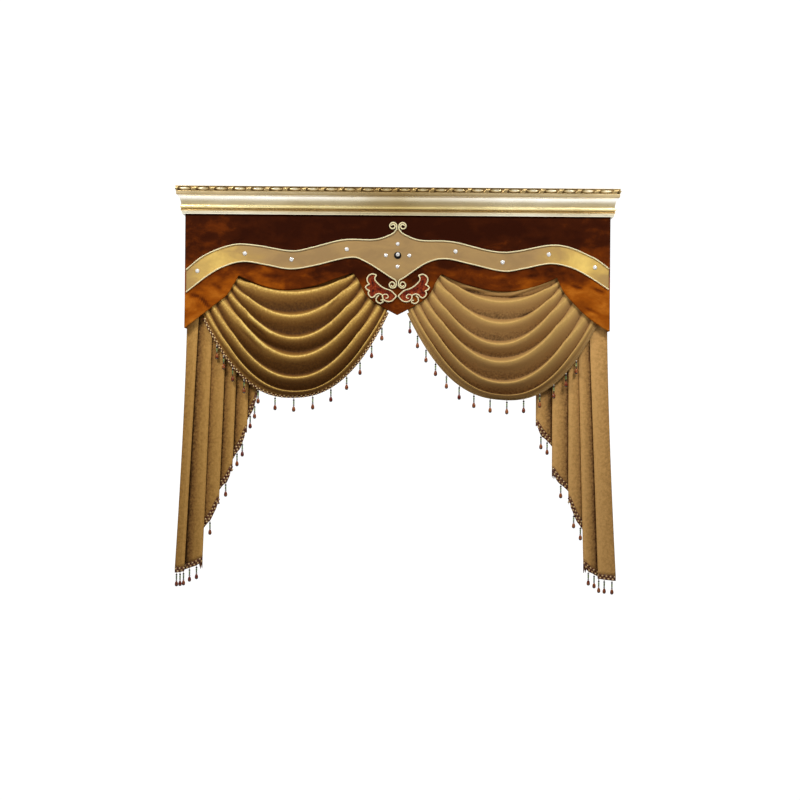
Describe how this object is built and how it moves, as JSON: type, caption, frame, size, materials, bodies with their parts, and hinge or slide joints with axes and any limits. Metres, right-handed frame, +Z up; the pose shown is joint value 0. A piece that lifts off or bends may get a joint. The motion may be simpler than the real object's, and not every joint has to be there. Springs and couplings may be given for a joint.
{
  "type": "window valance with swags and tails, hung from a gilded cornice",
  "caption": "Window valance: cloth pelmet with a wavy sewn band, draped swags, pleated side tails and bead fringe, hung from a gilded box cornice.",
  "frame": {"origin": "middle of the back edge of the cornice board, on the wall plane", "axes": "+Y into the wall, so the front looks along -Y; +X to the viewer's right; +Z up"},
  "size_m": [2.0886, 0.2075, 1.9016],
  "materials": {
    "gilt": "champagne gold leaf on a carved moulding",
    "board_wood": "planed softwood",
    "velvet": "crushed brown velvet, stiffened",
    "band_suede": "tan suede cloth",
    "cream_piping": "cream twisted cord",
    "leaf_red": "rust red velvet",
    "crystal": "cut glass",
    "chenille": "tan gold short pile chenille",
    "bead_trim": "braid with glass and amber beads"
  },
  "bodies": {
    "root": {"band": "band_suede", "band_cord_bottom_left": "cream_piping", "band_cord_bottom_right": "cream_piping", "band_cord_top_left": "cream_piping", "band_cord_top_right": "cream_piping", "cornice_batten": "board_wood", "cornice_board": "board_wood", "cornice_front": "gilt", "cornice_return_left": "gilt", "cornice_return_right": "gilt", "crystal_01": "crystal", "crystal_02": "crystal", "crystal_03": "crystal", "crystal_04": "crystal", "crystal_05": "crystal", "crystal_06": "crystal", "crystal_07": "crystal", "crystal_08": "crystal", "crystal_09": "crystal", "crystal_10": "crystal", "crystal_11": "crystal", "crystal_12": "crystal", "crystal_13": "crystal", "leaf_cord_left": "cream_piping", "leaf_cord_right": "cream_piping", "leaf_curl_left": "cream_piping", "leaf_curl_right": "cream_piping", "leaf_left": "leaf_red", "leaf_right": "leaf_red", "pelmet": "velvet", "swag_fringe_left": "bead_trim", "swag_fringe_right": "bead_trim", "swag_left": "chenille", "swag_right": "chenille", "tail_fringe_left": "bead_trim", "tail_fringe_right": "bead_trim", "tail_left": "chenille", "tail_right": "chenille"}
  },
  "joints": []
}
